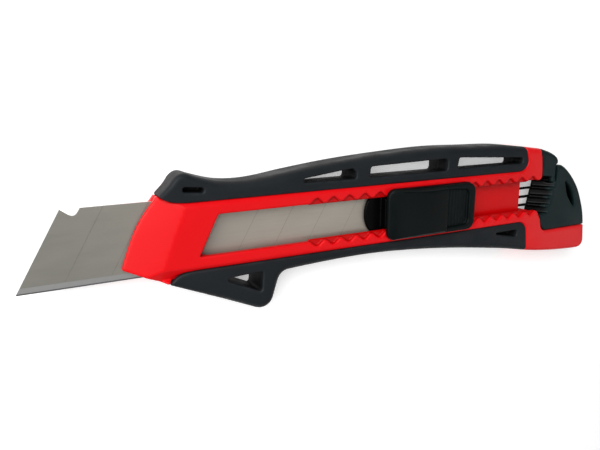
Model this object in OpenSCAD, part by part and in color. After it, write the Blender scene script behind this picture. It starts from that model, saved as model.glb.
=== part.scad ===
// Snap-off utility knife with an auto-lock thumb slider and a pull-off end cap.
// It lies on its flat back: +Z is up towards the slider, the blade points to -X,
// the spine is on the +Y side, and the origin is under the middle of its box.

/* [Blade] */
// Length of a new blade
blade_length = 100; // [90:1:105]
// Width of the blade
blade_width = 18; // [17:0.5:18]
// Thickness of the blade
blade_thickness = 0.5; // [0.4:0.1:0.6]
// Distance between the snap-off score lines, along the edge
segment_length = 10; // [8:1:12]
// Angle of the blade's front edge and of its score lines
tip_angle = 60; // [58:1:62]
// Number of score lines
score_lines = 7; // [5:1:7]
// Radius of the hole at the blade's rear end
blade_hole_radius = 2.5; // [2:0.1:2.5]

/* [Handle] */
// Thickness of the handle, from its flat back to its front face
handle_thickness = 10; // [10:0.1:10.6]
// Height of the blade's upper face above the handle's back
blade_level = 6.7; // [6.5:0.1:6.8]
// Thickness of the front shell's toothed rails
rail_thickness = 2; // [1.8:0.1:2.1]
// Thickness of the soft overmoulding on the faces
grip_skin = 1.4; // [1:0.1:1.5]

/* [Slot] */
// Width of the slot that the slider runs in
slot_width = 10; // [9.9:0.1:10.2]
// Distance between neighbouring notches, which is one click
notch_pitch = 5; // [4.9:0.1:5]
// Number of notches in each rail
notch_count = 17; // [15:1:17]
// Depth of a notch
notch_depth = 1.4; // [1.2:0.1:1.5]
// Width of a notch at its mouth
notch_mouth = 4.3; // [4:0.1:4.5]

/* [Slider] */
// Width of the thumb slider
slider_width = 14.6; // [13.8:0.1:14.8]
// Height of the thumb pad above the handle's front face
pad_rise = 4; // [3.5:0.1:4.2]
// Travel of the thumb slider on the carrier, each way, before the lock lets go
release_travel = 1; // [0.8:0.1:1]

/* [End cap] */
// Gap between the end cap and the shells
cap_gap = 0.2; // [0.15:0.05:0.25]
// Number of ribs across the end of the slot
comb_ribs = 4; // [3:1:4]
// Thickness of each of those ribs
comb_rib_width = 0.9; // [0.6:0.1:1]

/* [Hidden] */
$fn = 48;
e = 0.01;

red = "#d8202c";
black = "#2b3136";
dark = "#1a1e20";
steel = "#9a958c";

// Plan positions are measured from the blade's tip and from the slot's centre line.
overall_length = 180.8;
crest_y = 17.616;
guard_y = -21.05;

// Heights above the handle's back
face_z = handle_thickness;
blade_z = blade_level - blade_thickness;
floor_z = blade_z - 0.2;
rail_z = face_z - rail_thickness;
core_top_z = face_z - grip_skin;
core_low_z = grip_skin;
track_thickness = 1;
nose_top_z = blade_level + 0.15;
lip_z = rail_z + 0.85;
spring_z = lip_z + 0.1;
channel_half = blade_width / 2 + 0.2;
slot_half = slot_width / 2;

// Slot, notches and the carriage that runs in them
slot_front = [40.2, 45.3];
first_notch = 72.3;
lock_notch = 9;
lock_x = first_notch + lock_notch * notch_pitch;
track_front = 33;
carrier_way_x = 42.2;
track_end = 151;
lip_half = slot_half - 0.4;
neck_half = lip_half - 0.3;
slider_y = -0.15;
slider_front = 93.8;
slider_rear = 125.5;
pad_rear = 113.6;
recess_rear = 122.9;
slider_z = face_z + 0.3;
stud_x = 93.5;
stud_radius = 1.5;
stud_height = 0.45;
leg_x = 100.5;
pocket_slack = release_travel + 0.4;

// Facets that thin the nose, above and below: where they cross the centre line, their
// turn and their tilts
facet_x = 34.2;
under_facet_x = 37;
facet_turn = -22.5;
facet_tilt = 16;
under_facet_tilt = 22;

// Bevels along the outer edges of the rails, which narrow towards the tail
rail_bevel_width = 1.2;
rail_bevel_tilt = 30;
rail_bevel_length = 121;

// End cap and its latch
latch_pivot = [162, 4.6];
latch_pin_radius = 0.9;
ledge_y = -12.5;
ledge_x = 158.3;
wall_x = 157.3;
rail_end = 155.4;
lug_z = 4.2;
lug_height = 2.4;

// Comb across the slot's end: its upper and lower face, the foot and the top of the ramp
// behind it, the ramp's slant in plan, the angle of the grooves up it, the first rib and
// the distance between ribs
comb_top_z = 5.2;
comb_low_z = 4.2;
ramp_foot = 157;
ramp_top = 159.9;
ramp_slant = -14;
groove_angle = 52;
first_rib_y = 4.6;
rib_pitch = 2.85;

// ---------------------------------------------------------------- outline helpers

// Catmull-Rom curve through points, with a number of steps between neighbours.
function curve(p, steps = 6) = [
    for (i = [0 : len(p) - 2], k = [0 : steps - 1])
        let (a = p[max(i - 1, 0)], b = p[i], c = p[i + 1], d = p[min(i + 2, len(p) - 1)], t = k / steps)
        0.5 * (2 * b + (c - a) * t + (2 * a - 5 * b + 4 * c - d) * t * t
               + (3 * b - a - 3 * c + d) * t * t * t),
    p[len(p) - 1]];

// Points of one corner [x, y, radius] between its neighbours, rounded by an arc.
function corner(a, b, c, steps = 6) =
    let (r = b[2], v = [b[0], b[1]], u = [a[0], a[1]] - v, w = [c[0], c[1]] - v,
         un = u / norm(u), wn = w / norm(w), half = acos(un * wn) / 2,
         mid = (un + wn) / norm(un + wn), centre = v + mid * r / sin(half),
         from = v + un * r / tan(half) - centre, to = v + wn * r / tan(half) - centre,
         start = atan2(from[1], from[0]), turn = atan2(to[1], to[0]) - start,
         sweep = turn > 180 ? turn - 360 : turn < -180 ? turn + 360 : turn)
    r == 0 ? [v] : [for (k = [0 : steps]) centre + r * [cos(start + sweep * k / steps),
                                                         sin(start + sweep * k / steps)]];

// Closed outline of corners [x, y, radius].
function rounded(p) = [for (i = [0 : len(p) - 1])
    each corner(p[(i + len(p) - 1) % len(p)], p[i], p[(i + 1) % len(p)])];

module slab(low, high) translate([0, 0, low]) linear_extrude(high - low) children();

// Moves plan positions into the part's frame.
module place() translate([-overall_length / 2, -(crest_y + guard_y) / 2, 0]) children();

// ---------------------------------------------------------------- plan areas

spine_line = curve([[31.4, 10.6], [33.6, 12.6], [35.4, 14.7], [37.5, 15.4], [40.4, 14.4],
    [45.8, 12.9], [51.2, 12.4], [57, 12.7], [66, 14], [80, 15.65], [96, 16.85], [112, 17.6],
    [127, 17.35], [140, 17], [155.2, 15.3]], 5);
latch_line = curve([[155.2, 15.3], [159.6, 14], [162.8, 12.5], [164, 11.1], [164, 10]], 4);
cap_line = curve([[164, 9.5], [166.3, 9.2], [169, 7.5], [172.1, 4.7], [175.3, 0.7],
    [177.8, -4.3], [179.3, -8.4], [180.1, ledge_y]], 4);
tail_corner = corner([overall_length, ledge_y], [overall_length, -21, 2.8], [165.2, -20.1]);
belly_line = curve([[175.6, -20.8], [165.2, -20.1], [154.9, -18.9], [144.5, -17.1], [134, -15.5],
    [123.8, -14.1], [113.4, -12.9], [103, -12], [92.7, -11.4], [82.4, -11.3], [72, -11.6]], 4);
guard_line = [each corner([72, -11.6], [61.9, -12.1, 3.2], [58.5, -22.6]),
    each corner([61.8, -12.2], [58.5, -22.6, 3.6], [22.2, -6.3])];
nose_line = curve([[22.2, -6.3], [22.9, -4], [26.3, 3.9], [31.4, 10.6]], 4);

module handle_area() polygon([each spine_line, each latch_line, each cap_line, each tail_corner,
    each belly_line, each guard_line, each nose_line]);

// Front and back face of the spine's soft grip
module spine_area() intersection() {
    handle_area();
    polygon([[28, 11.2], [30.4, 11.2],
        each curve([[30.8, 10.9], [32.2, 9.6], [34.6, 8.7], [38, 8.4]], 4),
        each corner([38, 8.4], [149.7, 8.4, 3.4], [149.7, 13]), [148.4, 15.9], [147.3, 20],
        [28, 20]]);
}

// Face of the belly's soft grip, with the finger guard
module belly_area() intersection() {
    handle_area();
    polygon([[32.4, -12], [32.7, -10.8],
        each curve([[32.7, -10.8], [34.2, -9.3], [36.4, -8.5], [39.5, -8.3]], 4),
        each corner([39.5, -8.3], [150.6, -8.3, 3.6], [151.9, -18]), [151.9, -18],
        [152.4, -24], [32.4, -24]]);
}

// Room of the end cap and its latch, grown by a gap
module cap_room() polygon([[155.2, 17], [155.2, 14.7], [155.9, 12.4], [156.4, 9.3],
    each corner([156.4, 9.3], [156.7, 5, 1.3], [150, 5]), [track_end, slot_half],
    [track_end, -slot_half], each corner([150, -slot_half], [rail_end, -slot_half, 2], [wall_x, -8.2]),
    [wall_x, -8.2],
    each corner([wall_x, -8.2], [ledge_x, ledge_y, 2.8], [165, ledge_y]), [190, ledge_y], [190, 16]]);

// Face of the red shells
module shell_area() difference() {
    handle_area();
    spine_area();
    belly_area();
    cap_room();
}

// Part of the shells that lies under the soft grips
module core_area() difference() {
    intersection() {
        handle_area();
        union() {
            translate([31, -10]) square([122, 19.5]);
            polygon([[40, -9], [45, -13.4], [54.6, -18.2], [57, -16.8], [58.8, -11], [60, -9]]);
        }
    }
    guard_window(0.8);
    cap_room();
}

// The windows in the spine's front half, one slanted opening each
module front_windows() {
    polygon(rounded([[68.4, 10.8, 0.3], [84.3, 10.7, 0.6], [84.3, 12.4, 0.7],
        [83.3, 13.5, 0.5], [79.3, 13.1, 1], [68.4, 11.8, 0.3]]));
    polygon(rounded([[88.7, 10.7, 0.5], [116.1, 10.7, 1], [116.1, 14.3, 1.2], [89.1, 13.6, 0.6]]));
    polygon(rounded([[119.9, 11.1, 0.4], [147, 11, 0.7], [147, 12.8, 0.8], [120.5, 14.3, 0.7]]));
}

// The same windows in the back half, a step wider below and to the rear
module back_windows() {
    polygon(rounded([[68.5, 10.3, 0.3], [85.4, 10.3, 0.8], [85.4, 12.9, 0.8],
        [79.3, 12.9, 1], [68.5, 11.6, 0.3]]));
    polygon(rounded([[88.8, 10.3, 0.5], [116.9, 10.3, 1], [116.9, 14.1, 1.2], [89.2, 13.4, 0.6]]));
    polygon(rounded([[120, 10.3, 0.5], [148.6, 10.3, 0.8], [148.6, 12.5, 0.8], [120.6, 14.1, 0.7]]));
}

// Triangular window in the finger guard, moved out by a margin
module guard_window(grow = 0) polygon(rounded([[47.2 - 2 * grow, -11.5 + grow, 0.3],
    [56.5 + grow, -11 + grow, 0.6], [56.1 + grow, -16.4 - grow, 0.5],
    [47.2 - 2 * grow, -12.3 - grow, 0.3]]));

// The slot in the front face
module slot_area() polygon([[slot_front[0], -slot_half], [track_end + 10, -slot_half],
    [track_end + 10, slot_half],
    each corner([track_end, slot_half], [slot_front[1], slot_half, 0.8], [slot_front[0], -slot_half])]);

// The slot below the notches, where a lip on each side makes it narrower
module low_slot_area() difference() {
    slot_area();
    for (y = [lip_half, -lip_half - 1])
        translate([first_notch - notch_mouth / 2, y])
            square([track_end - first_notch + notch_mouth / 2, 1]);
}

// Its two rows of notches
module notch_area() for (i = [0 : notch_count - 1], side = [-1, 1])
    translate([first_notch + i * notch_pitch, 0]) polygon([
        [-notch_mouth / 2, side * (slot_half - e)], [-0.4, side * (slot_half + notch_depth)],
        [0.4, side * (slot_half + notch_depth)], [notch_mouth / 2, side * (slot_half - e)]]);

// ---------------------------------------------------------------- shells

// Wedges that thin the nose from a facet line to its front edge
module nose_facet() translate([facet_x, 0, face_z]) rotate([0, 0, facet_turn])
    rotate([0, -facet_tilt, 0]) translate([-30, -30, 0]) cube([30, 60, 10]);

module nose_under_facet() translate([under_facet_x, 0, 0]) rotate([0, 0, facet_turn])
    rotate([0, under_facet_tilt, 0]) translate([-30, -30, -10]) cube([30, 60, 10]);

// Bevel along a rail, from the line at y and falling to the given side
module rail_bevel(y, side) translate([25, y, face_z])
    rotate([0, 0, side * atan(rail_bevel_width / rail_bevel_length)])
        rotate([-side * rail_bevel_tilt, 0, 0])
            translate([0, side > 0 ? 0 : -3, 0]) cube([rail_bevel_length, 3, 3]);

module front_shell() color(red) place() difference() {
    union() {
        slab(core_top_z, face_z) shell_area();
        slab(floor_z, core_top_z) { shell_area(); core_area(); }
    }
    // blade way through the nose, and the deeper way of the carrier behind it
    channel(0, nose_top_z);
    channel(carrier_way_x, rail_z);
    // slot and notches, which stop at a lip above the channel
    slab(floor_z - 1, face_z + 1) low_slot_area();
    slab(lip_z, face_z + 1) slot_area();
    slab(lip_z, face_z + 1) notch_area();
    nose_facet();
    rail_bevel(8.4 - rail_bevel_width, 1);
    rail_bevel(rail_bevel_width - 8.3, -1);
    latch_pocket();
    comb_relief();
}

// Channel from a plan position to the track's end, from below the floor up to a level
module channel(from, top) translate([from, -channel_half, floor_z - 1])
    cube([track_end - from, 2 * channel_half, top - floor_z + 1]);

// Pocket for the latch's locating lug, in the end of the upper rail
module latch_pocket() translate([153.8, 9, lug_z - 0.3]) cube([4, 3.2, lug_height + 0.6]);

// Room under the lower rail beside the comb
module comb_relief() translate([track_end - 0.5, -slot_half - 1.3, -1]) cube([4.8, 2, rail_z + 1]);

module back_shell() color(red) place() difference() {
    union() {
        slab(0, core_low_z) difference() { shell_area(); palm_area(); }
        slab(core_low_z, floor_z) { shell_area(); core_area(); }
        // tongue that guides the end cap
        translate([155, -11, 3]) cube([11, 3.4, floor_z - 3]);
    }
    // hollow under the blade track, with cross ribs left standing
    for (i = [0 : 7])
        translate([36 + i * 14.3, -7.7, 3]) cube([12.8, 15.4, 10]);
    // seat of the track
    translate([track_front, -channel_half + 0.05, floor_z - track_thickness])
        cube([track_end + 1 - track_front, 2 * channel_half - 0.1, 5]);
    // hollow in the tail
    translate([161, -18.4, 2]) cube([17, 4.2, 3]);
    nose_under_facet();
    latch_pocket();
    comb_relief();
}

// Plate that closes the back shell and guides the blade's underside
module blade_track() color(red) place()
    translate([track_front, -channel_half + 0.1, floor_z - track_thickness])
        cube([track_end - track_front, 2 * channel_half - 0.2, track_thickness]);

// ---------------------------------------------------------------- soft grips

// Plan of the palm pad on the handle's back
module palm_area() polygon(rounded([[46, -8.3, 0.5], [146, -8.3, 0.5], [146, 8.4, 0.5], [52, 8.4, 0.5]]));

module spine_grip() color(black) place() difference() {
    slab(0, face_z) spine_area();
    slab(core_low_z, core_top_z) core_area();
    slab(face_z / 2, face_z + 1) front_windows();
    slab(-1, face_z / 2) back_windows();
    // blind slot in the hump
    slab(face_z - 4, face_z + 1) polygon(rounded([[36.8, 10.95, 0.5], [41.8, 10.5, 0.5],
        [41.8, 11.7, 0.5], [36.8, 12.2, 0.5]]));
    nose_under_facet();
}

module belly_grip() color(black) place() difference() {
    slab(0, face_z) belly_area();
    slab(core_low_z, core_top_z) core_area();
    slab(-1, face_z + 1) guard_window();
    // blind wedge at the rear of the belly
    slab(face_z - 4, face_z + 1) polygon(rounded([[135.4, -10.8, 0.2], [146.8, -13, 0.8],
        [146.8, -10.6, 0.8]]));
    nose_under_facet();
}

// Soft pad on the back, with finger grooves across it
module palm_pad() color(black) place() difference() {
    slab(0, core_low_z) palm_area();
    for (i = [0 : 8])
        translate([68 + i * 7, 0, 0]) rotate([0, 0, 20]) translate([-0.8, -6, -1]) cube([1.6, 12, 1.6]);
}

// ---------------------------------------------------------------- carriage

// Outline of the snap-off blade, with the hooked corner of its first segment
module blade_area() {
    lean = blade_width / tan(tip_angle);
    half = blade_width / 2;
    polygon([[0, -half], [blade_length, -half], [blade_length, half],
        each curve([[14.6, half], [13.9, 7.9], [13.2, 7.4], [12.3, 7.6], [11.2, 8.4], [lean, half]], 3)]);
}

module blade() color(steel) place() difference() {
    slab(blade_z, blade_level) blade_area();
    // ground edge on the upper side
    bevel_width = 1.7;
    bevel_depth = blade_thickness * 0.8;
    translate([-1, -blade_width / 2, blade_level - bevel_depth])
        rotate([atan(bevel_depth / bevel_width), 0, 0])
            translate([0, -2, 0]) cube([blade_length + 2, bevel_width + 3, 2]);
    for (i = [1 : score_lines])
        translate([i * segment_length - 0.9, -blade_width / 2, blade_level - 0.04])
            rotate([0, 0, tip_angle - 90]) translate([-0.1, -1, 0]) cube([0.2, blade_width * 1.3, 1]);
    translate([stud_x, 0, blade_z - 1]) cylinder(r = blade_hole_radius, h = 3);
}

// Plastic carrier that runs under the rails and holds the blade
module blade_carrier() color(dark) place() difference() {
    union() {
        slab(blade_level, rail_z - 0.15) polygon([
            each curve([[93.6, 6.6], [90.2, 4.6], [88.8, 1.6], [88.8, -1.6], [90.2, -4.6],
                [93.6, -6.6]], 4),
            [94, -8.7], [120.6, -8.7], [120.6, 8.7], [94, 8.7]]);
        slab(rail_z - 0.2, face_z) translate([94, -neck_half]) square([26.3, 2 * neck_half]);
    }
    // pocket for the slider's leg
    translate([leg_x - 2.6 - pocket_slack, -3, face_z - 1.7]) cube([5.2 + 2 * pocket_slack, 6, 5]);
    // bed of the lock spring, and the room its wings need to dip
    translate([108.2, -3.5, spring_z]) cube([20, 7, 5]);
    translate([lock_x - 2.4, -10, 7.35]) cube([4.8, 20, 5]);
    translate([stud_x, 0, blade_level - 1]) cylinder(r = stud_radius, h = 1 + stud_height + 0.05);
}

// Steel stud that carries the blade by its hole
module blade_stud() color(steel) place() {
    translate([stud_x, 0, blade_z]) cylinder(r = blade_hole_radius - 0.1, h = blade_thickness);
    translate([stud_x, 0, blade_level - e]) cylinder(r = stud_radius, h = stud_height + e);
}

// Leaf spring whose wing tips sit in the notches
module lock_spring() color(steel) place() {
    leaf = 0.4;
    tip_y = slot_half + notch_depth - 0.2;
    translate([0, 0, spring_z]) {
        translate([108.5, -3.1, 0]) cube([11.5, 6.2, leaf]);
        linear_extrude(leaf) translate([lock_x, 0]) polygon([[-1.8, -4.6], [-0.5, -tip_y], [0.5, -tip_y],
            [1.8, -4.6], [1.8, 4.6], [0.5, tip_y], [-0.5, tip_y], [-1.8, 4.6]]);
    }
    // raised tab that the slider's ramps press down
    translate([113.6, -2, spring_z + leaf - 0.05]) rotate([-90, 0, 0]) linear_extrude(4)
        polygon([[-0.9, 0], [0, -0.6], [0.9, 0]]);
}

// ---------------------------------------------------------------- thumb slider

// Plan of the thumb slider, moved in by an inset
module slider_area(inset) translate([0, slider_y]) polygon(rounded([
    [slider_front + inset, -slider_width / 2 + inset, 2.4],
    [slider_rear - inset, -slider_width / 2 + inset, 2.6],
    [slider_rear - inset, slider_width / 2 - inset, 2.6],
    [slider_front + inset, slider_width / 2 - inset, 2.4]]));

// Side view of the thumb pad, which climbs from its front edge
pad_side = [[slider_front - 1, slider_z], each curve([[slider_front - 0.2, face_z + 1.5],
    [slider_front + 2.5, face_z + 2.6], [slider_front + 7, face_z + pad_rise - 0.6],
    [slider_front + 13, face_z + pad_rise - 0.05], [pad_rear, face_z + pad_rise - 0.25]], 4),
    [pad_rear, slider_z]];

// Cross section of the slider, which narrows towards the top
slider_section = [[-slider_width / 2, slider_z], [slider_width / 2, slider_z],
    [slider_width / 2 - 0.1, slider_z + 1.5], [slider_width / 2 - 1.2, face_z + pad_rise],
    [1.2 - slider_width / 2, face_z + pad_rise], [0.1 - slider_width / 2, slider_z + 1.5]];

module thumb_slider() color(dark) place() {
    base_z = slider_z + 1;
    rim_z = face_z + 2.4;
    slab(slider_z, base_z) slider_area(0);
    // thumb pad
    intersection() {
        slab(slider_z, face_z + pad_rise) slider_area(0);
        translate([0, 20, 0]) rotate([90, 0, 0]) linear_extrude(40) polygon(pad_side);
        translate([slider_front - 1, slider_y, 0]) rotate([90, 0, 90]) linear_extrude(40)
            polygon(slider_section);
    }
    // rim round the ribbed recess
    slab(base_z - 0.5, rim_z) difference() {
        slider_area(0.2);
        polygon(rounded([[pad_rear - 1, -5.9, 0.3], [recess_rear, -5.6, 1.8],
            [recess_rear, 5.1, 1.8], [pad_rear - 1, 5.5, 0.3]]));
        translate([0, -20]) square([pad_rear, 40]);
    }
    // fine ribs in the recess
    for (x = [pad_rear + 1 : 1.2 : recess_rear - 0.6])
        translate([x, -5.3, base_z - 0.5]) cube([0.5, 10.1, 0.75]);
    // leg in the carrier's pocket, and the two ramps over the spring's tab
    translate([leg_x - 2.6, -2.7, face_z - 1.4]) cube([5.2, 5.4, slider_z - face_z + 1.4]);
    for (x = [111.6, 114.8])
        translate([x, -1.8, 9.5]) cube([1, 3.6, slider_z - 9.5]);
}

// ---------------------------------------------------------------- end cap

// Plan of the end cap's body, clear of the shells and of the latch
module cap_area() difference() {
    intersection() {
        handle_area();
        polygon([[track_end + 0.4, slot_half - cap_gap], [163.8, slot_half - cap_gap],
            [163.8, 9.4], [190, 9.4], [190, ledge_y + cap_gap],
            each corner([165, ledge_y + cap_gap], [ledge_x + cap_gap, ledge_y + cap_gap, 2.6],
                [wall_x + 0.2 + cap_gap, -8.2]),
            [wall_x + cap_gap, -8.2], [rail_end + 0.2 + cap_gap, -slot_half + cap_gap],
            [track_end + 0.4, -slot_half + cap_gap]]);
    }
    // slit behind the latch and the seat of its hinge
    translate([162.8, 4.1]) square([1, 10]);
    translate(latch_pivot) circle(r = latch_pin_radius + 0.15);
}

module end_cap() color(dark) place() difference() {
    slab(0, face_z) cap_area();
    // open end of the slot, which the ribs cross
    comb_cut([[track_end - 3, comb_top_z], [ramp_foot, comb_top_z], [ramp_top, face_z],
        [ramp_top + 0.6, face_z + 1], [track_end - 3, face_z + 1]]);
    comb_cut([[track_end - 3, comb_low_z], [ramp_foot, comb_low_z], [163.4, 0],
        [163.4, -1], [track_end - 3, -1]]);
    for (i = [1 : comb_ribs])
        comb_gap(first_rib_y - i * rib_pitch + comb_rib_width / 2);
    // snapping slot for worn blade tips
    slab(face_z - 5, face_z + 1) snap_slot();
    // pocket for the back shell's tongue
    translate([150, -11 - cap_gap, 3 - cap_gap])
        cube([16.2 + cap_gap, 3.4 + 2 * cap_gap, floor_z - 3 + 2 * cap_gap]);
}

// Moves along the ramp's slanting foot to a plan position across the slot
function slant(y) = -y * tan(ramp_slant);

// Cut across the slot's end, drawn from the side and turned with the ramp
module comb_cut(side) translate([ramp_foot, 0, 0]) rotate([0, 0, ramp_slant])
    translate([-ramp_foot, 5.6, 0]) rotate([90, 0, 0]) linear_extrude(12) polygon(side);

// Gap between two ribs, from its lower side, and the groove that carries on up the ramp
module comb_gap(low) {
    width = rib_pitch - comb_rib_width;
    foot = ramp_foot + slant(low + width / 2);
    translate([track_end - 1, low, comb_low_z - 1]) cube([foot - track_end + 1.2, width, 3]);
    translate([foot + 0.1, low, comb_top_z]) rotate([0, -groove_angle, 0])
        translate([-2.3, 0, -1.1]) cube([9.4, width, 2.2]);
}

// Crescent that widens downwards, beside the cap's rim
module snap_slot() polygon([
    each curve([[168.3, 3.8], [170.7, 1.7], [172.4, -0.8], [173.6, -3.3], [174, -5.2]], 3),
    each curve([[173, -5.2], [171.2, -3.2], [169.6, -1], [168.8, 1.1], [168, 3.4]], 3)]);

// Spring latch of the end cap, on its hinge
module cap_latch() color(dark) place() {
    slab(0, face_z) {
        intersection() {
            handle_area();
            polygon([[155.4, 17], [155.4, 14.7], [156.1, 12.4], [156.6, 9.3], [156.9, 6.2], [161.2, 5.7],
                [161.2, latch_pivot[1]], [162.6, latch_pivot[1]], [162.8, 9.7], [164.3, 9.9], [164.3, 17]]);
        }
        translate(latch_pivot) circle(r = latch_pin_radius);
    }
    // lug that locates the cap in the upper rail
    translate([154.3, 9.3, lug_z]) cube([3.5, 1.6, lug_height]);
}

front_shell();
back_shell();
blade_track();
spine_grip();
belly_grip();
palm_pad();
blade();
blade_carrier();
blade_stud();
lock_spring();
thumb_slider();
end_cap();
cap_latch();
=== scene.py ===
import math

import bpy
import numpy as np
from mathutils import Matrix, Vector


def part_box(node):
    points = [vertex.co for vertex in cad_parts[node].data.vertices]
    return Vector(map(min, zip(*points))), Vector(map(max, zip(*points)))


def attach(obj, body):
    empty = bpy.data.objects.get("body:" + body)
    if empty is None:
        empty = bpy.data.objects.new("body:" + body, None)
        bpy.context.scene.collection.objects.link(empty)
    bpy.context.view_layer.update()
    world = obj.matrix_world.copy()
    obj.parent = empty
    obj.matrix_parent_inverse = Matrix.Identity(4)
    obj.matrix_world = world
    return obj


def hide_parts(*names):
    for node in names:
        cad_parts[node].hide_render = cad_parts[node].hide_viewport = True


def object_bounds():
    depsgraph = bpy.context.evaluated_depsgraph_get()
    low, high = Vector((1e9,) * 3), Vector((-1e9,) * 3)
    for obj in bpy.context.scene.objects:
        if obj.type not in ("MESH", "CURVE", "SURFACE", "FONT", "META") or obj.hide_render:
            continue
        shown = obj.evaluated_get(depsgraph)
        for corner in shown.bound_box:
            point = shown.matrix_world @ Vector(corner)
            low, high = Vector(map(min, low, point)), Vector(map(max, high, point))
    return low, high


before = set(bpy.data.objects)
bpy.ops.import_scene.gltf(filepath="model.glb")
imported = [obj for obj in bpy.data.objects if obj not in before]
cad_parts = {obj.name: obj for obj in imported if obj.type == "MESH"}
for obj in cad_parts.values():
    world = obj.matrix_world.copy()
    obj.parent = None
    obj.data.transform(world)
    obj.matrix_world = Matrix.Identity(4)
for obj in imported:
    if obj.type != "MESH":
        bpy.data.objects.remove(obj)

import openvdb as vdb
from mathutils import Vector
from mathutils.bvhtree import BVHTree

cad_low, cad_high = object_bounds()

# Moulded pieces are worked out in millimetres, as signed distances on a grid.
MM = 0.001
VOXEL = 0.2
BAND = 4
FACE_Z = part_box("front_shell")[1].z / MM

# Nodes whose side faces make the handle's outline.
OUTLINE_NODES = ["front_shell", "back_shell", "spine_grip", "belly_grip", "end_cap", "cap_latch"]

# Radius of the handle's outer rim, in millimetres, along its length.
NOSE_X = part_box("front_shell")[0].x / MM
TAIL_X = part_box("back_shell")[1].x / MM
RIM_PLACES = [NOSE_X + 10, NOSE_X + 24, TAIL_X - 40, TAIL_X - 26]
RIM_RADII = [0.8, 2.2, 2.2, 1.3]

# ---------------------------------------------------------------- moulded skins


def cad_polygons(node):
    """Corner points in millimetres and triangles of a CAD node."""
    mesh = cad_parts[node].data
    mesh.calc_loop_triangles()
    points = np.empty(len(mesh.vertices) * 3, np.float32)
    mesh.vertices.foreach_get("co", points)
    triangles = np.empty(len(mesh.loop_triangles) * 3, np.int32)
    mesh.loop_triangles.foreach_get("vertices", triangles)
    return points.reshape(-1, 3) / MM, triangles.reshape(-1, 3)


def outline_segments():
    """Plan segments of the handle's side faces that have free space in front of them."""
    points, triangles = [], []
    for node in OUTLINE_NODES:
        node_points, node_triangles = cad_polygons(node)
        triangles.append(node_triangles + sum(len(p) for p in points))
        points.append(node_points)
    points, triangles = np.concatenate(points), np.concatenate(triangles)
    tree = BVHTree.FromPolygons(points.tolist(), triangles.tolist())
    corners = points[triangles]
    normals = np.cross(corners[:, 1] - corners[:, 0], corners[:, 2] - corners[:, 0])
    areas = np.linalg.norm(normals, axis=1)
    normals /= np.maximum(areas, 1e-9)[:, None]
    found = set()
    for i in np.flatnonzero((abs(normals[:, 2]) < 0.1) & (areas > 0.02)):
        start = corners[i].mean(0) + 0.05 * normals[i]
        # level, rising and falling rays, so that a wall inside a pocket doesn't count
        rays = [Vector(normals[i]) + Vector((0, 0, rise)) for rise in (-0.5, 0, 0.5)]
        if all(tree.ray_cast(Vector(start), ray)[0] is None for ray in rays):
            plan = sorted(tuple(np.round(p[:2].astype(float), 3)) for p in corners[i])
            found.add((plan[0], plan[-1]))
    return np.array(sorted(found))


OUTLINE = outline_segments()


def outline_distance(x, y):
    """Distance in plan from each grid point to the handle's outline."""
    px, py = np.broadcast_arrays(x, y)
    nearest = np.full(px.shape, 1e9, np.float32)
    for (ax, ay), (bx, by) in OUTLINE:
        dx, dy = bx - ax, by - ay
        length = max(dx * dx + dy * dy, 1e-9)
        t = np.clip(((px - ax) * dx + (py - ay) * dy) / length, 0, 1)
        nearest = np.minimum(nearest, (px - ax - t * dx) ** 2 + (py - ay - t * dy) ** 2)
    return np.sqrt(nearest)


def rounded_meet(a, b, radius):
    """Signed distance to where two half-spaces meet in a rounded edge."""
    inside = np.minimum(np.maximum(a + radius, b + radius), 0)
    outside = np.hypot(np.maximum(a + radius, 0), np.maximum(b + radius, 0))
    return inside + outside - radius


def sample(values, low, points):
    """Values between the grid's points, at places given in millimetres."""
    at = np.clip(points / VOXEL - low, 0, np.array(values.shape) - 1.001)
    cell = at.astype(int)
    part = at - cell
    total = np.zeros(len(points))
    for dx in (0, 1):
        for dy in (0, 1):
            for dz in (0, 1):
                weight = abs(1 - dx - part[:, 0]) * abs(1 - dy - part[:, 1]) * abs(1 - dz - part[:, 2])
                total += weight * values[cell[:, 0] + dx, cell[:, 1] + dy, cell[:, 2] + dz]
    return total


def grid_values(grid):
    """A grid's values as an array, with the index of its lowest corner."""
    low, high = grid.evalActiveVoxelBoundingBox()
    low, high = np.array(low) - 1, np.array(high) + 1
    values = np.empty(high - low + 1, np.float32)
    grid.copyToArray(values, ijk=tuple(int(i) for i in low))
    return values, low


def level_set(points, triangles, quads=None):
    """Grid of signed distances to a closed surface."""
    extra = {} if quads is None else {"quads": quads}
    return vdb.FloatGrid.createLevelSetFromPolygons(
        points.astype(np.float32), triangles=triangles.astype(np.uint32),
        transform=vdb.createLinearTransform(VOXEL), halfWidth=BAND, **extra)


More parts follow.
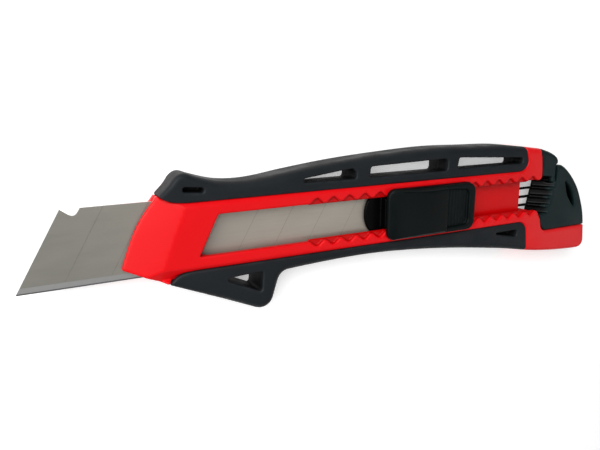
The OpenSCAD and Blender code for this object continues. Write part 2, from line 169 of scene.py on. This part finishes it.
def moulded(node, edge, rim):
    """New mesh object with a CAD node's form and softened edges.

    edge is the radius of every outer edge, and rim says whether the handle's outline is
    rounded more.
    """
    values, low = grid_values(level_set(*cad_polygons(node)))
    x, y, z = (VOXEL * (low[i] + np.arange(values.shape[i])) for i in range(3))
    x, y, z = x[:, None, None], y[None, :, None], z[None, None, :]
    if rim:
        side = -outline_distance(x[:, :, 0], y[:, :, 0])[:, :, None]
        radius = np.interp(x, RIM_PLACES, RIM_RADII)
        values = np.maximum(values, rounded_meet(side, np.maximum(z - FACE_Z, -z), radius))
    values = np.ascontiguousarray(values, np.float32)

    cut = vdb.FloatGrid(BAND * VOXEL)
    cut.transform = vdb.createLinearTransform(VOXEL)
    cut.copyFromArray(values, ijk=tuple(int(i) for i in low))
    points, triangles, quads = cut.convertToPolygons(isovalue=-edge)
    grown = level_set(points, triangles, quads)
    points, triangles, quads = grown.convertToPolygons(isovalue=edge, adaptivity=0.02)
    # the mesher can end a hair below the handle's flat back
    points[:, 2] = np.maximum(points[:, 2], cad_low.z / MM)

    mesh = bpy.data.meshes.new(node + "_skin")
    mesh.from_pydata((points * MM).tolist(), [], quads[:, ::-1].tolist() + triangles[:, ::-1].tolist())
    grown_values, grown_low = grid_values(grown)
    slopes = [sample(s, grown_low, points) for s in np.gradient(grown_values)]
    normals = np.stack(slopes, 1)
    normals /= np.maximum(np.linalg.norm(normals, axis=1), 1e-6)[:, None]
    mesh.shade_smooth()
    mesh.normals_split_custom_set_from_vertices(normals.tolist())
    worn = mesh.attributes.new("worn", "FLOAT", "POINT")
    taken_off = -sample(values, low, points) / (edge * (math.sqrt(2) - 1))
    worn.data.foreach_set("value", np.clip(taken_off, 0, 1).astype(np.float32))
    piece = bpy.data.objects.new(node + "_skin", mesh)
    bpy.context.scene.collection.objects.link(piece)
    return piece


# ---------------------------------------------------------------- materials


class Look:
    """A material's node tree, with short ways to add what the looks share."""

    def __init__(self, name, **sockets):
        self.material = bpy.data.materials.new(name)
        self.material.use_nodes = True
        self.nodes = self.material.node_tree.nodes
        self.links = self.material.node_tree.links
        self.shader = self.nodes["Principled BSDF"]
        for socket, value in sockets.items():
            label = socket.replace("_", " ").title().replace("Ior", "IOR")
            self.shader.inputs[label].default_value = value
        self.place = self.nodes.new("ShaderNodeTexCoord").outputs["Object"]

    def link(self, source, target):
        self.links.new(source, target)

    def noise(self, size, detail=3.0, stretch=(1, 1, 1)):
        """Noise whose features are size metres wide, stretched along the axes."""
        mapping = self.nodes.new("ShaderNodeMapping")
        mapping.inputs["Scale"].default_value = [1 / (size * s) for s in stretch]
        self.link(self.place, mapping.inputs["Vector"])
        texture = self.nodes.new("ShaderNodeTexNoise")
        texture.inputs["Scale"].default_value = 1
        texture.inputs["Detail"].default_value = detail
        self.link(mapping.outputs["Vector"], texture.inputs["Vector"])
        return texture.outputs["Fac"]

    def spread(self, fac, low, high, start=0.35, end=0.65):
        """Numbers from low to high as fac goes from start to end."""
        node = self.nodes.new("ShaderNodeMapRange")
        node.inputs["From Min"].default_value = start
        node.inputs["From Max"].default_value = end
        node.inputs["To Min"].default_value = low
        node.inputs["To Max"].default_value = high
        self.link(fac, node.inputs["Value"])
        return node.outputs["Result"]

    def mix(self, fac, first, second):
        """Colour between two colours, each a colour or a socket."""
        node = self.nodes.new("ShaderNodeMix")
        node.data_type = "RGBA"
        self.link(fac, node.inputs["Factor"])
        for socket, value in (("A", first), ("B", second)):
            target = [s for s in node.inputs if s.name == socket and s.type == "RGBA"][0]
            if isinstance(value, bpy.types.NodeSocket):
                self.link(value, target)
            else:
                target.default_value = (*value, 1)
        return [s for s in node.outputs if s.type == "RGBA"][0]

    def math(self, operation, first, second=0):
        node = self.nodes.new("ShaderNodeMath")
        node.operation = operation
        for i, value in enumerate((first, second)):
            if isinstance(value, bpy.types.NodeSocket):
                self.link(value, node.inputs[i])
            else:
                node.inputs[i].default_value = value
        return node.outputs["Value"]

    def worn(self):
        """How much of an edge the rounding took off, from 0 to 1."""
        node = self.nodes.new("ShaderNodeAttribute")
        node.attribute_name = "worn"
        return node.outputs["Fac"]

    def axis(self, name, start):
        """Distance in metres past a start along one of the part's axes."""
        node = self.nodes.new("ShaderNodeSeparateXYZ")
        self.link(self.place, node.inputs["Vector"])
        return self.math("SUBTRACT", node.outputs[name], start)

    def deep(self, start, end):
        """How far below the handle's face, from 0 at start to 1 at end, both in metres."""
        return self.spread(self.axis("Z", FACE_Z * MM), 1, 0, -end, -start)

    def colour(self, source):
        self.link(source, self.shader.inputs["Base Color"])

    def roughness(self, source):
        self.link(source, self.shader.inputs["Roughness"])

    def bump(self, *heights):
        """Relief of several (height socket, depth in metres) on each other."""
        normal = None
        for height, depth in heights:
            node = self.nodes.new("ShaderNodeBump")
            node.inputs["Distance"].default_value = depth
            node.inputs["Strength"].default_value = 1
            self.link(height, node.inputs["Height"])
            if normal:
                self.link(normal, node.inputs["Normal"])
            normal = node.outputs["Normal"]
        self.link(normal, self.shader.inputs["Normal"])


# The slot's middle, how far its notches reach to each side, and where they start, in metres; these
# bound the notches' painted shade
SLOT_Y = sum(corner.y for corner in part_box("blade_track")) / 2
NOTCH_REACH = 0.0065
NOTCH_X = -0.0203
# Width over which the notches' shade ends
BLEND = 0.0002
# Where the painted sheen on the red towards the tail begins, and over what length
PAINTED_SHEEN_X = 0.056
PAINTED_SHEEN_LENGTH = 0.015


def red_plastic():
    look = Look("red_plastic", specular_ior_level=0.17)
    flow = look.noise(0.03, 2, (3, 1, 1))
    clean = look.mix(look.spread(flow, 0, 1), (0.66, 0.0015, 0.004), (0.72, 0.003, 0.0065))
    # Painted sheen: towards the tail the red is painted paler and pinker
    painted_tail_sheen = look.spread(look.axis("X", PAINTED_SHEEN_X), 0, 1, 0, PAINTED_SHEEN_LENGTH)
    clean = look.mix(painted_tail_sheen, clean, (0.68, 0.014, 0.0165))
    rubbed = look.math("MULTIPLY", look.worn(), look.spread(look.noise(0.004), 0.0, 0.35))
    coloured = look.mix(rubbed, clean, (0.80, 0.02, 0.025))
    aside = look.math("ABSOLUTE", look.axis("Y", SLOT_Y))
    beside = look.spread(aside, 1, 0, NOTCH_REACH, NOTCH_REACH + BLEND)
    notched = look.math("MULTIPLY", beside, look.spread(look.axis("X", NOTCH_X), 0, 1, 0, BLEND))
    # Painted shade: the notches' floors below the face are painted dark red, the deeper slot floor a
    # little less dark
    shade = look.math("MULTIPLY", notched, look.deep(0.0002, 0.0010))
    floor = look.mix(look.deep(0.0018, 0.0024), (0.46, 0.0007, 0.0015), (0.58, 0.0008, 0.002))
    look.colour(look.mix(shade, coloured, floor))
    grain = look.noise(0.00035, 2)
    smear = look.spread(look.noise(0.009, 4, (2.5, 1, 1)), 0.30, 0.44)
    look.roughness(smear)
    look.bump((grain, 0.000006), (look.noise(0.012, 1), 0.00008))
    return look.material


def grip_rubber():
    look = Look("grip_rubber", specular_ior_level=0.2)
    cloud = look.noise(0.02, 4)
    clean = look.mix(look.spread(cloud, 0, 1), (0.0060, 0.0082, 0.0105), (0.0088, 0.0112, 0.0138))
    rubbed = look.math("MULTIPLY", look.worn(), look.spread(look.noise(0.003), 0.1, 0.6))
    coloured = look.mix(rubbed, clean, (0.024, 0.027, 0.029))
    # Painted shade: rubber surfaces below the handle's face darken to near black with depth
    look.colour(look.mix(look.deep(0.0004, 0.0018), coloured, (0.0018, 0.0020, 0.0022)))
    look.roughness(look.spread(look.noise(0.006, 5), 0.5, 0.68))
    look.bump((look.noise(0.00028, 3), 0.000014), (look.noise(0.015, 1), 0.0001))
    return look.material


def black_plastic(name, dull, bright, shine, shaded=False):
    """Moulded black plastic between two colours, with a strength of its highlights.

    shaded says whether recesses below the handle's face get painted shade, darker with depth.
    """
    look = Look(name, specular_ior_level=shine)
    cloud = look.noise(0.014, 3)
    clean = look.mix(look.spread(cloud, 0, 1), dull, bright)
    rubbed = look.math("MULTIPLY", look.worn(), look.spread(look.noise(0.003), 0.0, 0.5))
    coloured = look.mix(rubbed, clean, [2.2 * c for c in bright])
    if shaded:
        # Painted shade in recesses below the handle's face
        coloured = look.mix(look.deep(0.0004, 0.0016), coloured, (0.0005, 0.0006, 0.0006))
    look.colour(coloured)
    look.roughness(look.spread(look.noise(0.007, 5), 0.30, 0.46))
    look.bump((look.noise(0.0003, 2), 0.000005), (look.noise(0.01, 1), 0.00005))
    return look.material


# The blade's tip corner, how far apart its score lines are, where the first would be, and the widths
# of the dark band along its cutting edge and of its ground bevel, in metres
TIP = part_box("blade")[0]
SCORE_PITCH = 0.010
SCORE_START = -0.0009
EDGE_BAND = 0.0004
GROUND = 0.0017


def blade_steel():
    look = Look("blade_steel", metallic=0.6, specular_ior_level=0.4)
    grain = look.noise(0.00018, 2, (40, 1, 1))
    steel = look.mix(look.spread(grain, 0, 1, 0.2, 0.8), (0.375, 0.345, 0.295), (0.41, 0.378, 0.325))
    steel = look.mix(look.spread(look.noise(0.018, 2), 0, 0.5), steel, (0.35, 0.33, 0.29))
    along, across = look.axis("X", TIP.x), look.axis("Y", TIP.y)

    slant = look.math("SUBTRACT", along, look.math("MULTIPLY", across, math.tan(math.radians(30))))
    turns = look.math("DIVIDE", look.math("SUBTRACT", slant, SCORE_START), SCORE_PITCH)
    part = look.math("FRACT", look.math("ADD", turns, 0.5))
    near = look.math("ABSOLUTE", look.math("SUBTRACT", part, 0.5))
    scored = look.spread(near, 0.4, 0, 0.007, 0.013)
    steel = look.mix(scored, steel, (0.20, 0.185, 0.16))
    # Painted reflection: the blade is painted darker and cooler towards its tip
    painted_tip_reflection = look.spread(along, 0.62, 0, 0.012, 0.055)
    steel = look.mix(painted_tip_reflection, steel, (0.175, 0.18, 0.165))

    steel = look.mix(look.spread(across, 1, 0, GROUND - 0.0001, GROUND), steel, (0.35, 0.35, 0.345))
    steel = look.mix(look.spread(across, 0.85, 0, EDGE_BAND - 0.0001, EDGE_BAND), steel, (0.07, 0.07, 0.072))
    look.colour(steel)
    look.roughness(look.spread(look.noise(0.002, 6, (4, 1, 1)), 0.40, 0.47))
    look.bump((grain, 0.0000012))
    return look.material


def spring_steel():
    look = Look("spring_steel", metallic=1.0)
    grain = look.noise(0.0002, 2, (1, 12, 1))
    look.colour(look.mix(look.spread(grain, 0, 1), (0.50, 0.49, 0.47), (0.66, 0.65, 0.63)))
    look.roughness(look.spread(look.noise(0.003, 4), 0.25, 0.40))
    look.bump((grain, 0.000002))
    return look.material


RED, RUBBER = red_plastic(), grip_rubber()
BLACK = black_plastic("black_plastic", (0.0014, 0.0028, 0.0029), (0.0026, 0.0048, 0.0048), 0.1)
# The carrier's black plastic is painted darker for the shade it lies in down in the slot
SHADED = black_plastic("black_plastic_painted_shade", (0.0006, 0.0006, 0.0007), (0.0012, 0.0011, 0.0012), 0.06)
CAP = black_plastic("black_cap", (0.0062, 0.0140, 0.0148), (0.0082, 0.0176, 0.0186), 0.1, True)
STEEL, SPRING = blade_steel(), spring_steel()

# ---------------------------------------------------------------- pieces

# node: body, material, record slot, edge radius, whether its rim is rounded
MOULDED = {
    "front_shell": ("handle", RED, "red_plastic", 0.22, True),
    "back_shell": ("handle", RED, "red_plastic", 0.25, True),
    "blade_track": ("handle", RED, "red_plastic", 0.2, False),
    "spine_grip": ("handle", RUBBER, "grip_rubber", 0.25, True),
    "belly_grip": ("handle", RUBBER, "grip_rubber", 0.25, True),
    "palm_pad": ("handle", RUBBER, "grip_rubber", 0.25, False),
    "blade_carrier": ("carriage", SHADED, "black_plastic", 0.2, False),
    "thumb_slider": ("slider", BLACK, "black_plastic", 0.24, False),
    "end_cap": ("tail_cap", CAP, "black_plastic", 0.2, True),
    "cap_latch": ("latch", CAP, "black_plastic", 0.24, True),
}


def make_moulded():
    for node, (body, material, slot, edge, rim) in MOULDED.items():
        piece = moulded(node, edge, rim)
        piece.data.materials.append(material)
        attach(piece, body)
        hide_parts(node)


def finish_metal(node, material, edge):
    """Material and fine bevelled edges for a CAD node made of sheet steel."""
    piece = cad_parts[node]
    piece.data.materials.clear()
    piece.data.materials.append(material)
    bevel = piece.modifiers.new("edges", "BEVEL")
    bevel.width = edge
    bevel.segments = 2
    bevel.limit_method = "ANGLE"
    bevel.angle_limit = math.radians(35)


make_moulded()
finish_metal("blade", STEEL, 0.00003)
finish_metal("blade_stud", SPRING, 0.00008)
finish_metal("lock_spring", SPRING, 0.00006)

# ---------------------------------------------------------------- stage, light and camera


def make_floor():
    mesh = bpy.data.meshes.new("floor")
    half = 3.0
    corners = [(-half, -half, 0), (half, -half, 0), (half, half, 0), (-half, half, 0)]
    mesh.from_pydata(corners, [], [(0, 1, 2, 3)])
    floor = bpy.data.objects.new("floor", mesh)
    floor.location.z = cad_low.z - 0.0002
    bpy.context.scene.collection.objects.link(floor)
    look = Look("pale_floor", roughness=0.9, base_color=(0.9, 0.9, 0.9, 1), specular_ior_level=0.1)
    look.shader.inputs["Emission Color"].default_value = (1, 1, 1, 1)
    look.shader.inputs["Emission Strength"].default_value = 0.35
    mesh.materials.append(look.material)


def area_light(name, place, size, power, target=(0, 0, 0)):
    """Soft light of size (width, height) metres at a place, aimed at a target."""
    light = bpy.data.lights.new(name, "AREA")
    light.shape = "RECTANGLE"
    light.size, light.size_y = size
    light.energy = power
    lamp = bpy.data.objects.new(name, light)
    lamp.location = place
    lamp.rotation_euler = (Vector(target) - Vector(place)).to_track_quat("-Z", "Y").to_euler()
    bpy.context.scene.collection.objects.link(lamp)


def make_world(strength):
    world = bpy.data.worlds.new("studio")
    world.use_nodes = True
    background = world.node_tree.nodes["Background"]
    background.inputs["Color"].default_value = (1, 1, 1, 1)
    background.inputs["Strength"].default_value = strength
    bpy.context.scene.world = world


def make_camera():
    camera = bpy.data.cameras.new("camera")
    camera.lens = 33.98
    camera.sensor_width = 36
    camera.clip_start = 0.01
    holder = bpy.data.objects.new("camera", camera)
    holder.location = (-0.0890, 0.03475, 0.1366)
    holder.rotation_euler = [math.radians(a) for a in (-12.866, -27.489, -0.418)]
    bpy.context.scene.collection.objects.link(holder)
    bpy.context.scene.camera = holder


make_floor()
area_light("key", (-0.25, 0.16, 0.30), (0.40, 0.30), 2.3, (-0.03, 0, 0))
area_light("above", (0.36, -0.22, 0.85), (0.5, 0.5), 0.6)
area_light("tail", (0.80, -0.25, 0.52), (0.5, 0.3), 0.5, (0.08, 0, 0))
area_light("front", (-0.10, -0.80, 0.60), (0.9, 0.4), 0.8)
make_world(0.2)
make_camera()
bpy.context.scene.view_settings.view_transform = "Standard"
